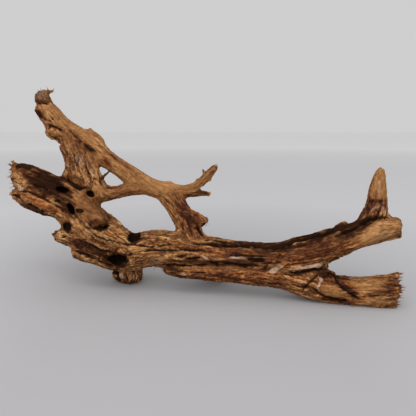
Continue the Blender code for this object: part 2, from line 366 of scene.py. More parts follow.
CRACKS = (
    Crack(((184, 243), (205, 243.5), (235, 245), (262, 243), (290, 239), (310, 235), (336, 226)), 1.5, 3.4),
    Crack(((336, 234), (352, 230), (366, 221), (378, 217), (391, 217)), 1.3, 3.0),
    Crack(((196, 239), (222, 241), (250, 246), (275, 247), (305, 243)), 0.9, 1.8),
    Crack(((186, 259), (201, 258.5)), 1.1, 2.4),
    Crack(((209, 262.5), (219, 265)), 1.2, 2.6),
    Crack(((223, 264), (240, 266), (262, 267)), 1.2, 2.6),
    Crack(((228, 254.5), (245, 255), (270, 256)), 1.0, 2.0),
    Crack(((163, 266), (185, 266), (210, 265)), 1.1, 2.6),
    Crack(((284, 272), (300, 273), (318, 270), (328, 263)), 1.0, 2.2),
    Crack(((165, 273), (185, 272), (210, 274), (240, 275)), 0.8, 1.3),
    Crack(((262, 271), (270, 263), (281, 257)), 0.8, 1.4),
    Crack(((140, 252), (160, 251), (180, 250), (208, 250)), 0.9, 1.8),
    Crack(((92, 246), (104, 251), (112, 252)), 1.0, 2.0),
    Crack(((84, 231), (105, 239), (125, 244), (150, 247), (178, 243)), 1.0, 2.0),
    Crack(((104, 231), (118, 236), (130, 246)), 0.8, 1.3),
    Crack(((72, 250), (85, 256), (105, 264), (116, 268)), 1.0, 2.0),
    Crack(((18, 189), (32, 193), (46, 199), (60, 208), (64, 213)), 1.0, 1.8),
    Crack(((13, 194.5), (21, 198.5)), 1.2, 3.0),
    Crack(((27, 203), (36, 207), (45, 213)), 1.2, 3.0),
    Crack(((28, 184), (44, 188), (60, 197), (68, 202)), 0.9, 1.4),
    Crack(((24, 172), (45, 178), (64, 186)), 0.9, 1.2),
    Crack(((66, 178), (73, 184), (81, 187.5), (88, 186)), 1.5, 3.0),
    Crack(((87, 223), (93, 228), (100, 229.5), (106, 227), (110, 222)), 1.5, 3.4),
    Crack(((47, 125), (54, 126.5), (62, 131)), 1.1, 2.2),
    Crack(((46, 134), (54, 138), (62, 142)), 0.9, 1.6),
    Crack(((67, 128), (76, 137), (85, 145), (97, 153)), 1.0, 1.6),
    Crack(((100, 148), (115, 158), (132, 171)), 0.8, 1.0),
    Crack(((37, 103), (43, 103), (49, 105)), 1.0, 1.8),
    Crack(((41, 118), (48, 121), (54, 118)), 0.9, 1.4),
    Crack(((74, 152), (75, 160), (78, 166)), 0.9, 1.4),
    Crack(((83, 160), (88, 171), (97, 184)), 1.0, 1.6),
    Crack(((140, 163), (155, 173), (175, 181)), 0.7, 0.8),
    Crack(((162, 198), (172, 205), (180, 214)), 0.8, 1.2),
    Crack(((172, 196), (178, 206), (184, 222)), 0.8, 1.2),
    Crack(((182, 198), (188, 207), (192, 218)), 0.8, 1.2),
    Crack(((196, 226), (200, 231), (205, 236)), 1.0, 2.4),
    Crack(((186, 196), (196, 193), (206, 193)), 0.9, 1.4),
    Crack(((300, 262), (320, 257), (340, 249), (365, 240)), 0.7, 0.9),
    Crack(((325, 272), (335, 277), (343, 287), (350, 295), (360, 299)), 1.1, 2.2),
    Crack(((312, 288), (321, 296), (334, 300.5), (350, 302)), 1.1, 2.0),
    Crack(((104, 187.5), (112, 187), (122, 184.5)), 0.8, 1.2),
    Crack(((316, 276), (309, 283), (302, 291)), 1.1, 2.2),
    Crack(((362, 298), (380, 296), (396, 294)), 0.8, 1.1),
    Crack(((345, 283), (360, 286), (384, 284)), 0.7, 0.9),
    Crack(((366, 200), (377, 202), (389, 199)), 0.9, 1.3),
    Crack(((262, 244.5), (290, 241), (312, 235.5), (338, 227)), 2.3, 2.2),
    Crack(((118, 271), (119, 276), (121, 282)), 1.1, 2.4),
    Crack(((126, 272), (127, 281)), 0.9, 1.8),
    Crack(((133, 271), (136, 280)), 0.9, 1.8),
    Crack(((374, 208), (379, 212), (382, 216)), 0.8, 1.2),
)

ENDS = (
    BrokenEnd(400, 286, -14, (1.0, 0.0, -0.05), 20, 4.0, 130),
    BrokenEnd(402, 227, -9, (1.0, 0.0, 0.05), 12, 0.8, 0),
    BrokenEnd(9, 173, 49, (-1.0, 0.1, 0.1), 14, 5.0, 34),
    BrokenEnd(9, 191, 39, (-1.0, 0.0, 0.1), 7, 3.0, 8),
    BrokenEnd(43, 88, 75, (-0.1, 0.1, 1.0), 8, 2.0, 4),
    BrokenEnd(52, 233, 32, (-1.0, 0.0, 0.0), 7, 2.0, 4),
    BrokenEnd(218, 164, 29, (0.6, -0.1, 0.8), 5, 1.2, 3),
    BrokenEnd(206, 222, 22, (0.9, 0.0, -0.4), 7, 2.0, 6),
    BrokenEnd(160, 271, 24, (-1.0, 0.0, 0.0), 7, 2.0, 4),
    BrokenEnd(350, 304, -14, (0.3, 0.0, -1.0), 8, 0.5, 5),
)

STAINS = {
    # Char, and painted shade: the patches under the lobes and lips and in the hollows and crescents paint
    # shade.
    Tone.CHAR_AND_SHADE: stains(
        (49, 183, 29, 13, 24, 1.0), (27, 165, 15, 4, 8, 0.95), (62, 198, 14, 7, 40, 0.8),
        (62, 181, 12, 5, 24, 0.7), (50, 196, 10, 3, 25, 0.7), (268, 243.5, 54, 4.0, 0, 0.9),
        (308, 238, 50, 8.5, -16, 1.0), (352, 228, 26, 8, -28, 0.95), (362, 213, 8, 9, 20, 0.75),
        (377, 201, 12, 1.8, 0, 0.65), (92, 248, 26, 7, 22, 0.8), (70, 211, 12, 7, 62, 0.6),
        (118, 259, 15, 9, 3, 0.9), (134, 239, 9, 7, 0, 0.9), (43, 102, 8, 2.6, 5, 0.8),
        (38, 113.5, 6, 2.6, 52, 0.95), (89.5, 149, 10, 2.8, 35, 0.7), (78, 142.5, 5, 1.8, 35, 0.7),
        (107, 162, 4, 1.6, 40, 0.6), (92, 158, 4, 2.2, 60, 0.45), (74, 136, 13, 2.4, 42, 0.25),
        (118, 160, 24, 1.8, 38, 0.5), (79, 186.5, 12, 2.4, 14, 0.8), (67, 227, 6, 7, 0, 0.7),
        (99, 228, 12, 2.4, 2, 0.8), (202, 193, 10, 3, 0, 0.8), (42, 95, 7.5, 7, 0, 0.5),
        (112, 188, 10, 1.6, -6, 0.5), (98, 223.5, 13, 4, -4, 0.65), (109, 218, 2.4, 6, 20, 0.5),
        (312, 248, 34, 8, -14, 0.45), (78, 160, 20, 10, 70, 0.2), (90, 207, 20, 9, 48, 0.28),
        (334, 301, 16, 1.8, 9, 0.6), (391, 286, 6, 13, 12, 0.45), (350, 291, 13, 2.8, 46, 0.7),
        (332, 275, 13, 3.4, 28, 0.6), (105.5, 175, 9, 2.4, -45, 0.8), (250, 261, 22, 4, 3, 0.7),
        (200, 263, 44, 3.4, 2, 0.5), (186, 214, 16, 6, 60, 0.6), (36, 211, 20, 4.4, 26, 0.8),
        (206, 226, 6, 5, 0, 0.6), (300, 273, 20, 2, -8, 0.6), (64, 160, 14, 3, 75, 0.4),
        (170, 277, 20, 3, 5, 0.4), (115, 272, 5, 3, 0, 0.9), (128, 282, 11, 2, 0, 0.5),
        (118, 279, 3, 4, 0, 0.8), (172, 273, 12, 4, 8, 0.6), (53, 233, 3.4, 3.4, 0, 0.8),
    ),
    Tone.EMBER: stains(
        (40, 202, 23, 6, 27, 1.0), (188, 216, 22, 13, 62, 1.0), (300, 252, 56, 13, -9, 0.95),
        (392, 284, 9, 14, 0, 0.6), (222, 250, 40, 9, 2, 0.85), (245, 277, 80, 9, 4, 0.8),
        (376, 206, 13, 8, 0, 0.8), (345, 284, 18, 6, 42, 1.0), (327, 274, 15, 6, 20, 0.9),
        (360, 298, 11, 4, 0, 0.9), (334, 300, 20, 3, 9, 0.9), (104, 217, 8, 4, -40, 0.5),
        (118, 235, 20, 5, 24, 0.45), (142, 245, 26, 3, 4, 0.4), (89, 177, 17, 3, 42, 0.45),
        (168, 241, 22, 3, -4, 0.4), (309, 283, 10, 4, -45, 0.9), (55, 128, 11, 2, 24, 0.9),
        (92, 248, 26, 9, 22, 0.5), (84, 147, 22, 4, 38, 0.6), (106, 161, 8, 3, 40, 0.8),
        (73, 181, 13, 6, 20, 0.45), (40, 180, 30, 9, 24, 0.35), (130, 277, 15, 8, 0, 0.3),
        (185, 249, 22, 1.8, 2, 0.9), (150, 238, 4, 2, 0, 1.0),
    ),
    Tone.PALE: stains(
        (42, 94, 7, 5.5, 0, 0.4), (80, 160, 9, 5.5, 70, 0.3), (93, 173, 8, 2.2, 66, 0.34),
        (276, 269.5, 8, 3.2, -25, 1.0), (307, 267, 20, 1.8, -8, 0.95), (238, 258, 9, 1.5, 3, 0.95),
        (319, 285, 4.5, 1.7, -70, 0.9), (321, 279, 3, 1.5, 20, 0.75), (384, 210, 5, 1.6, 80, 0.9),
        (376, 208, 6, 1.8, -35, 0.4), (204, 257, 6, 1.6, 30, 0.7), (382, 236, 20, 5, -24, 0.2),
        (96, 235, 14, 2.4, 24, 0.34), (20, 187.5, 3.4, 2, 0, 0.7), (122, 275, 3.4, 1.7, 60, 0.9),
        (118, 276, 3, 1.6, 20, 0.7), (133, 277, 4, 1.5, -40, 0.55), (183, 274, 5, 1.3, 5, 0.55),
        (157, 262, 9, 2.4, -8, 0.4), (379, 190, 14, 3, 90, 0.25), (122, 262, 4, 1.4, 0, 0.9),
        (60, 236, 9, 5, 35, 0.2),
    ),
    # Gold, and painted highlight: many of these patches lighten lit ridges and the lit side of hollows.
    Tone.GOLD_AND_HIGHLIGHT: stains(
        (118, 236, 22, 8, 24, 1.0), (140, 249, 30, 7, 6, 0.9), (168, 241, 30, 4, -4, 0.8),
        (92, 177, 17, 4, 44, 1.0), (79, 178.5, 11, 5.5, 24, 1.0), (54, 131, 9, 3.4, 18, 1.0),
        (110, 156, 80, 15, 37, 0.55), (47, 110, 9, 6, 60, 0.9), (158, 181, 52, 10, 14, 0.6),
        (379, 183, 18, 8, 90, 0.4), (376, 233, 29, 9, -24, 1.0), (374, 302, 22, 4.5, 2, 1.0),
        (332, 291, 14, 6.5, 25, 0.7), (76, 222, 12, 3.4, 42, 0.9), (94, 208, 20, 9, 48, 0.25),
        (67, 199, 7, 4, 10, 1.0), (364, 284, 24, 6, 2, 0.5), (150, 238, 5, 2, 0, 1.0),
        (24, 209, 13, 3, 35, 0.8), (20, 177, 8, 12, -15, 0.9), (185, 253.5, 22, 2.4, 0, 0.9),
        (131, 274, 10, 5, 8, 0.9), (39, 200, 20, 3, 27, 1.0),
    ),
}

# Where the wood is worn smooth, and where it is crumbled.
SMOOTH_ZONES = stains(
    (110, 150, 110, 26, 38, 1.0), (190, 184, 40, 12, -8, 1.0), (380, 188, 26, 14, 90, 1.0),
    (378, 234, 30, 12, -24, 1.0), (92, 208, 30, 15, 50, 0.9), (124, 191, 30, 8, 0, 0.9),
    (332, 291, 17, 8, 25, 1.0), (322, 246, 40, 10, -15, 0.8), (40, 178, 34, 12, 24, 0.6),
    (230, 258, 50, 12, 2, 0.7), (368, 284, 27, 10, 2, 1.0), (372, 302, 24, 5, 2, 0.8),
    (40, 202, 20, 5.5, 27, 0.9), (74, 180, 14, 7, 20, 0.9),
)

RUGGED_ZONES = stains(
    (84, 246, 32, 12, 22, 0.9), (128, 276, 20, 12, 0, 1.0), (16, 178, 10, 18, 0, 0.9),
    (198, 222, 12, 10, 0, 0.8), (43, 100, 12, 14, 0, 0.8), (170, 262, 60, 14, 0, 0.5),
    (394, 286, 12, 18, 0, 0.8), (312, 280, 22, 9, 10, 0.4),
)


class Noise:
    """Smooth seeded noise in space."""

    SIZE = 256
    SPREAD = 1.6

    def __init__(self, seed: int) -> None:
        """Draws the noise's table and gradients from the seed."""
        draws = np.random.default_rng(seed)
        self.table = draws.permutation(self.SIZE)
        self.gradients = unit(draws.normal(size=(self.SIZE, 3))).astype(np.float32)

    def at(self, places: Points) -> Points:
        """The noise, from about -1 to 1, at places whose unit is the noise's wavelength."""
        cell = np.floor(places).astype(np.int64)
        part = (places - cell).astype(np.float32)
        fade = part * part * part * (part * (part * 6.0 - 15.0) + 10.0)
        total = np.zeros(len(places), np.float32)
        for corner in itertools.product((0, 1), repeat=3):
            hashed = 0
            for steps in (cell + corner).T:
                hashed = self.table[(hashed + steps) % self.SIZE]
            reach = part - np.array(corner, np.float32)
            share = np.where(corner, fade, 1.0 - fade).prod(axis=1)
            total += share * (reach * self.gradients[hashed]).sum(axis=1)
        return total * self.SPREAD


@dataclass
class GrainFlow:
    """The way the grain runs at each point, from the limbs' axes and the knots."""

    cell: float = 5.0
    margin: float = 20.0
    softness: float = 0.1
    sharpness: int = 4
    rounds: int = 3
    knot_reach: float = 3.2
    knot_heart: float = 0.3
    chunk: int = 8192

    def __post_init__(self) -> None:
        """Samples the limbs and fills the grid of grain directions."""
        made = [limb.samples() for limb in LIMBS.values()]
        self.centres = np.concatenate([m[0] for m in made]).astype(np.float32)
        self.ways = np.concatenate([m[1] for m in made]).astype(np.float32)
        self.radii = np.concatenate([m[2] for m in made]).astype(np.float32)
        self.along = np.concatenate([m[3] for m in made]).astype(np.float32)
        self.limb = np.concatenate([np.full(len(m[0]), k) for k, m in enumerate(made)])
        self.knot_centres = SHEET.place([(k.across, k.down, k.back) for k in KNOTS])
        low = self.centres.min(axis=0) - self.margin
        high = self.centres.max(axis=0) + self.margin
        self.low = low
        self.count = np.ceil((high - low) / self.cell).astype(int) + 1
        axes = [low[k] + self.cell * np.arange(self.count[k]) for k in range(3)]
        places = np.stack(np.meshgrid(*axes, indexing="ij"), axis=-1).reshape(-1, 3)
        self.grid = self._tensors(places.astype(np.float32)).reshape(*self.count, 6)

    def closeness(self, places: Points) -> Points:
        """How near each place is to each axis sample, in the sample's own radius."""
        gap = (places**2).sum(axis=1)[:, None] + (self.centres**2).sum(axis=1)[None]
        gap = np.maximum(gap - 2.0 * places @ self.centres.T, 0.0)
        squared = self.radii**2
        return squared / (gap + self.softness * squared)

    def _tensors(self, places: Points) -> Points:
        """The weighed direction tensors of the axes at the places, six numbers each."""
        pairs = self.ways[:, [0, 0, 0, 1, 1, 2]] * self.ways[:, [0, 1, 2, 1, 2, 2]]
        made = np.empty((len(places), 6), np.float32)
        for start in range(0, len(places), self.chunk):
            some = slice(start, start + self.chunk)
            weight = self.closeness(places[some]) ** self.sharpness
            made[some] = weight @ pairs / weight.sum(axis=1, keepdims=True)
        return made

    def way_at(self, places: Points, before: Points) -> Points:
        """The grain's unit direction at the places, on the side of the directions before."""
        spot = (places - self.low) / self.cell
        base = np.clip(np.floor(spot).astype(int), 0, self.count - 2)
        part = np.clip(spot - base, 0.0, 1.0)
        tensor = np.zeros((len(places), 6))
        for corner in itertools.product((0, 1), repeat=3):
            share = np.where(corner, part, 1.0 - part).prod(axis=1)
            tensor += share[:, None] * self.grid[tuple((base + corner).T)]
        xx, xy, xz, yy, yz, zz = tensor.T
        way = before
        for _ in range(self.rounds):
            x, y, z = way.T
            way = unit(np.stack((xx * x + xy * y + xz * z, xy * x + yy * y + yz * z,
                                 xz * x + yz * y + zz * z), axis=1))
        for knot, centre in zip(KNOTS, self.knot_centres):
            way = self._round_knot(places, way, centre, knot.radius)
        return way

    def _round_knot(self, places: Points, way: Points, centre: Points, radius: float) -> Points:
        """Bends the grain round one knot, as water flows round a post."""
        near = np.flatnonzero(((places - centre) ** 2).sum(axis=1) < (self.knot_reach * radius) ** 2)
        if not len(near):
            return way
        sight = SHEET.sight(centre[None])[0]
        out = places[near] - centre
        out -= np.outer(out @ sight, sight)
        gap = np.maximum(np.linalg.norm(out, axis=1, keepdims=True), self.knot_heart)
        out /= gap
        flow = way[near]
        pull = np.minimum(radius / gap, gap / radius) ** 2
        bent = flow - pull * (2.0 * (flow * out).sum(axis=1, keepdims=True) * out)
        made = way.copy()
        made[near] = unit(bent + 1e-4)
        return made

    def lines(self, places: Points, steps: int, step: float) -> Points:
        """Points along the grain through each place.

        Args:
            places: Rows of points in millimetres.
            steps: How many steps to take each way.
            step: The length of one step.

        Returns:
            An array of (4 * steps + 1, places, 3), in order along the grain and half a step apart.
        """
        start = self.way_at(places, self.nearest_way(places))
        made = [places]
        for side in (-1.0, 1.0):
            spot, way = places, start
            for _ in range(steps):
                way = self.way_at(spot, way)
                spot = spot + side * step * way
                made.insert(0 if side < 0 else len(made), spot)
        stops = np.stack(made).astype(np.float32)
        fuller = np.empty((2 * len(made) - 1, *places.shape), np.float32)
        fuller[::2] = stops
        fuller[1::2] = (stops[:-1] + stops[1:]) / 2.0
        return fuller

    def nearest_way(self, places: Points) -> Points:
        """The direction of the axis that each place belongs to."""
        return self.ways[self.nearest(places)[0]].astype(float)

    def nearest(self, places: Points) -> tuple[Points, Points]:
        """The axis sample that each place belongs to, and how clearly it does, from 0 to 1."""
        best = np.empty(len(places), int)
        clear = np.empty(len(places))
        for start in range(0, len(places), self.chunk):
            some = slice(start, start + self.chunk)
            close = self.closeness(places[some].astype(np.float32))
            pick = close.argmax(axis=1)
            top = close[np.arange(len(pick)), pick]
            rival = np.where(self.limb[None] == self.limb[pick][:, None], 0.0, close).max(axis=1)
            best[some] = pick
            clear[some] = np.clip(1.0 - rival / top, 0.0, 1.0)
        return best, clear


@dataclass(frozen=True)
class Streak:
    """Noise drawn out along the grain.

    The wavelength is across the grain, in millimetres. The reach is how many points of a grain
    line it is averaged over, each way, and every says which of them it reads. Where its value is
    within about the band's width of 0, the wood is furrowed.
    """

    wavelength: float
    reach: int
    every: int
    seed: int
    band: float = 1.0

    def along(self, lines: Points) -> Points:
        """The noise at the middle of each grain line, with a spread of 1."""
        noise = Noise(self.seed)
        middle = len(lines) // 2
        picked = lines[middle - self.reach : middle + self.reach + 1 : self.every]
        total = sum(noise.at(spots / self.wavelength) for spots in picked)
        return total / float(total.std())


@dataclass(frozen=True)
class Mottle:
    """Noise that is alike every way, and its wavelength in millimetres."""

    wavelength: float
    seed: int

    def at(self, points: Points) -> Points:
        """The noise at the points."""
        return Noise(self.seed).at(points / self.wavelength)


BROAD = Streak(9.0, 24, 2, 11, 0.30)
MIDDLE = Streak(4.6, 9, 1, 12, 0.22)
FINE = Streak(2.5, 4, 1, 13)
SPLITS = Streak(6.0, 28, 2, 14, 0.13)
LUMPS = Mottle(34.0, 15)
PATCHES = Mottle(22.0, 16)
SPECK = Mottle(6.0, 17)
CRUMBS = Mottle(4.2, 18)
DUST = Mottle(2.3, 19)
TORN_SEED = 21

# The torn ends' spikes: their size in millimetres, a shift of the noise and its share.
SPIKES = ((3.2, 40.0, 1.0), (6.5, -20.0, 0.6))


def dip(value: Points, width: float) -> Points:
    """A narrow band round 0, 1 in its middle."""
    return np.exp(-((value / width) ** 2))


@dataclass
class Carver:
    """Turns points of the smooth wood into weathered wood, and knows each point's look.

    The heights and depths of its relief are in millimetres.
    """

    flow: GrainFlow
    line_steps: int = 14
    line_step: float = 2.5
    lump: float = 1.5
    grain: float = 0.28
    fine_grain: float = 0.27
    worn_away: float = 0.15
    valley: float = 0.3
    nick: float = 0.7
    split: float = 1.9
    crumb_base: float = 0.35
    pit_rim: float = 0.5
    pit_margin: float = 9.0
    pit_wall: tuple[float, float] = (0.72, 1.08)
    pit_shade: tuple[float, float] = (0.7, 1.05)
    swell_margin: float = 18.0
    bite_edge: float = 0.07
    bite_heart: float = 0.25
    bite_growth: float = 2.5
    stain_edge: float = 0.28
    stain_fade: tuple[float, float] = (0.55, 1.25)
    facing_fade: tuple[float, float] = (0.05, 0.45)
    crack_taper: float = 0.12
    torn_depth: tuple[float, float] = (-9.0, -1.0)
    torn_rim: tuple[float, float] = (0.9, 1.3)
    torn_heights: tuple[float, float] = (-1.0, 0.9)
    fibre_stretch: float = 0.15
    limb_shift: float = 31.0

    def _bites(self, points: Points, drawn: Points, ragged: Points) -> Points:
        """Moves that push the points out of the bites, within the sheet."""
        made = np.zeros_like(points)
        for bite in BITES:
            edge = bite.reach(drawn) + self.bite_edge * ragged
            inside = np.flatnonzero(edge < 1.0)
            middle = np.array([bite.across, bite.down])
            pushed = drawn[inside].copy()
            grown = np.minimum(1.0 / np.maximum(edge[inside], self.bite_heart), self.bite_growth)
            pushed[:, :2] = middle + (pushed[:, :2] - middle) * grown[:, None]
            made[inside] += SHEET.place(pushed) - points[inside]
        return made

    def _zone(self, drawn: Points, marks: tuple[Stain, ...], ragged: Points) -> Points:
        """How far each place lies in the marks, from 0 to 1."""
        made = np.zeros(len(drawn))
        for mark in marks:
            edge = mark.reach(drawn) + self.stain_edge * ragged
            made = np.maximum(made, mark.strength * (1.0 - smooth_step(*self.stain_fade, edge)))
        return made

    def carve(self, points: Points, normals: Points) -> tuple[Points, dict[str, Points]]:
        """Weathers the points.

        Args:
            points: The smooth surface's points, in millimetres.
            normals: Their normals.

        Returns:
            How far to move each point, in millimetres, and the look values of each.
        """
        drawn = SHEET.draw(points)
        sight = SHEET.sight(points)
        facing = smooth_step(*self.facing_fade, -(normals * sight).sum(axis=1))
        lines = self.flow.lines(points, self.line_steps, self.line_step)
        broad, middle, fine, splits = (kind.along(lines) for kind in (BROAD, MIDDLE, FINE, SPLITS))
        lumps, patches, speck = (kind.at(points) for kind in (LUMPS, PATCHES, SPECK))
        smooth = self._zone(drawn, SMOOTH_ZONES, 0.3 * speck)
        rugged = self._zone(drawn, RUGGED_ZONES, 0.3 * speck)
        rough = 1.0 - 0.78 * smooth + 0.5 * rugged
        crumb = np.abs(CRUMBS.at(points)) + 0.5 * np.abs(DUST.at(points))

        valley = dip(broad, BROAD.band)
        split = dip(splits, SPLITS.band) * smooth_step(-0.05, 0.35, patches)
        nick = dip(middle, MIDDLE.band) * smooth_step(-0.25, 0.3, speck)
        height = self.lump * lumps + rough * (self.grain * broad + self.fine_grain * middle)
        height += (self.grain - self.worn_away * smooth) * fine
        height -= rough * (self.valley * valley + self.nick * nick)
        height -= (0.25 + 0.75 * rough) * self.split * split
        height += (0.5 + 1.5 * rugged) * (crumb - self.crumb_base)
        # Painted shade: the grain's valleys, splits and nicks are darkened, as shade falls in them.
        crevice_shade = 0.08 * valley * rough + 0.75 * split * np.minimum(rough + 0.3, 1.0)
        crevice_shade += 0.4 * nick * rough
        moves = self._bites(points, drawn, speck)

        wobble = 0.8 * speck + 0.5 * fine
        # Each crack is carved, and painted shade darkens its groove.
        for crack in CRACKS:
            gap, where = crack.nearest(drawn)
            taper = smooth_step(0.0, self.crack_taper, where)
            taper = taper * smooth_step(0.0, self.crack_taper, 1.0 - where)
            width = crack.half_width * (0.55 + 0.6 * taper)
            groove = facing * (0.25 + 0.75 * taper) * dip(gap + 0.6 * wobble, width)
            height -= crack.depth * groove
            broken = smooth_step(-0.5 - 0.3 * crack.depth, 0.9 - 0.5 * crack.depth, speck)
            crevice_shade = np.maximum(crevice_shade, min(1.0, 0.25 + 0.35 * crack.depth) * broken * groove)
        # Each pit is carved deeper, and painted shade darkens it by its dark share.
        for pit in PITS:
            edge = pit.reach(drawn) + 0.2 * speck
            near = np.abs(drawn[:, 2] - pit.back) < pit.half_deep + self.pit_margin
            inside = near * (1.0 - smooth_step(*self.pit_wall, edge))
            height *= 1.0 - 0.9 * inside
            height += self.pit_rim * near * facing * dip(edge - 1.3, 0.22)
            moves += (pit.depth * inside * smooth_step(-0.2, 0.3, facing))[:, None] * sight
            shade = pit.dark * near * (1.0 - smooth_step(*self.pit_shade, edge))
            crevice_shade = np.maximum(crevice_shade, shade)
        for swell in SWELLS:
            near = np.abs(drawn[:, 2] - swell.back) < self.swell_margin
            height += swell.height * near * facing * np.clip(1.0 - swell.reach(drawn) ** 2, 0.0, 1.0)

        # Grain tone, and painted highlight: the colour is lighter where the same grain noise raises the
        # wood.
        grain_and_ridge_highlights = (0.12 - 0.06 * smooth) * broad + (0.13 - 0.04 * smooth) * middle
        looks = {
            "grain_and_ridge_highlight": np.clip(0.5 + grain_and_ridge_highlights, 0.0, 1.0),
            "fine": np.clip(0.5 + 0.25 * fine, 0.0, 1.0),
            "patch": np.clip(0.5 + 0.6 * patches + 0.25 * lumps, 0.0, 1.0),
            "calm": smooth,
            "crevice_shade": np.clip(crevice_shade, 0.0, 1.0),
        }
        for tone in Tone:
            looks[tone.value] = self._zone(drawn, STAINS[tone], speck + 0.5 * middle)
        looks.update(self._fibre_places(points))
        return moves + height[:, None] * normals, looks

    def _fibre_places(self, points: Points) -> dict[str, Points]:
        """Places measured across and along the limb, for the finest grain, and their weight."""
        best, clear = self.flow.nearest(points)
        way = self.flow.ways[best].astype(float)
        offset = points - self.flow.centres[best]
        wide = unit(np.cross(SHEET.sight(points), way))
        deep = np.cross(way, wide)
        along = self.flow.along[best] + (offset * way).sum(axis=1)
        shifted = self.fibre_stretch * along + self.limb_shift * self.flow.limb[best]
        place = np.stack(((offset * wide).sum(axis=1), (offset * deep).sum(axis=1), shifted), axis=1)
        return {"fibre": place, "fibre_weight": smooth_step(0.02, 0.2, clear)}

    def tear(self, points: Points, moved: Points) -> Points:
        """Adds the torn fibres of the broken ends to the moves."""
        noise = Noise(TORN_SEED)
        for end in ENDS:
            way = unit(np.array(end.way, float))
            out = points - end.centre
            along = out @ way
            side = out - np.outer(along, way)
            reach = np.linalg.norm(side, axis=1)
            near = 1.0 - smooth_step(*self.torn_rim, reach / end.radius)
            near = smooth_step(*self.torn_depth, along) * near
            spikes = sum(share * noise.at(side / size + shift) for size, shift, share in SPIKES)
            moved = moved + np.outer(near * end.length * np.clip(spikes, *self.torn_heights), way)
        return moved


def only(obj: Piece) -> Piece:
    """Selects that object alone and makes it the active one."""
    bpy.ops.object.select_all(action="DESELECT")
    obj.select_set(True)
    bpy.context.view_layer.objects.active = obj
    return obj


def join(base: Piece, others: list[Piece]) -> Piece:
    """Joins the others into the base."""
    only(base)
    for other in others:
        other.select_set(True)
    bpy.ops.object.join()
    return base


def finish_modifier(obj: Piece, kind: str, **settings: object) -> None:
    """Gives the object a modifier with those settings and applies it."""
    modifier = obj.modifiers.new(kind.lower(), kind)
    for name, value in settings.items():
        setattr(modifier, name, value)
    only(obj)
    bpy.ops.object.modifier_apply(modifier=modifier.name)


def read_points(mesh: Mesh) -> tuple[Points, Points]:
    """The mesh's points in millimetres, and its normals."""
    points = np.empty(len(mesh.vertices) * 3)
    normals = np.empty(len(mesh.vertices) * 3)
    mesh.vertices.foreach_get("co", points)
    mesh.vertices.foreach_get("normal", normals)
    return points.reshape(-1, 3) / MM, normals.reshape(-1, 3)


def write_points(mesh: Mesh, points: Points) -> None:
    """Puts points in millimetres into the mesh."""
    mesh.vertices.foreach_set("co", (points * MM).ravel())
    mesh.update()


def write_looks(mesh: Mesh, looks: dict[str, Points]) -> None:
    """Stores the look values on the mesh's points, for the material to read."""
    for name, values in looks.items():
        kind, key = ("FLOAT_VECTOR", "vector") if values.ndim == 2 else ("FLOAT", "value")
        stored = mesh.attributes.new(name, kind, "POINT")
        stored.data.foreach_set(key, values.astype(np.float32).ravel())


@dataclass(frozen=True)
class Colour:
    """A colour in linear light."""

    red: float
    green: float
    blue: float

    @property
    def rgba(self) -> tuple[float, float, float, float]:
        """The colour with full alpha."""
        return self.red, self.green, self.blue, 1.0


# The Mix node's sockets: its share, its plain values, its colours and the mixed colour.
SHARE, VALUE_A, VALUE_B, COLOUR_A, COLOUR_B, COLOUR_OUT = 0, 2, 3, 6, 7, 2


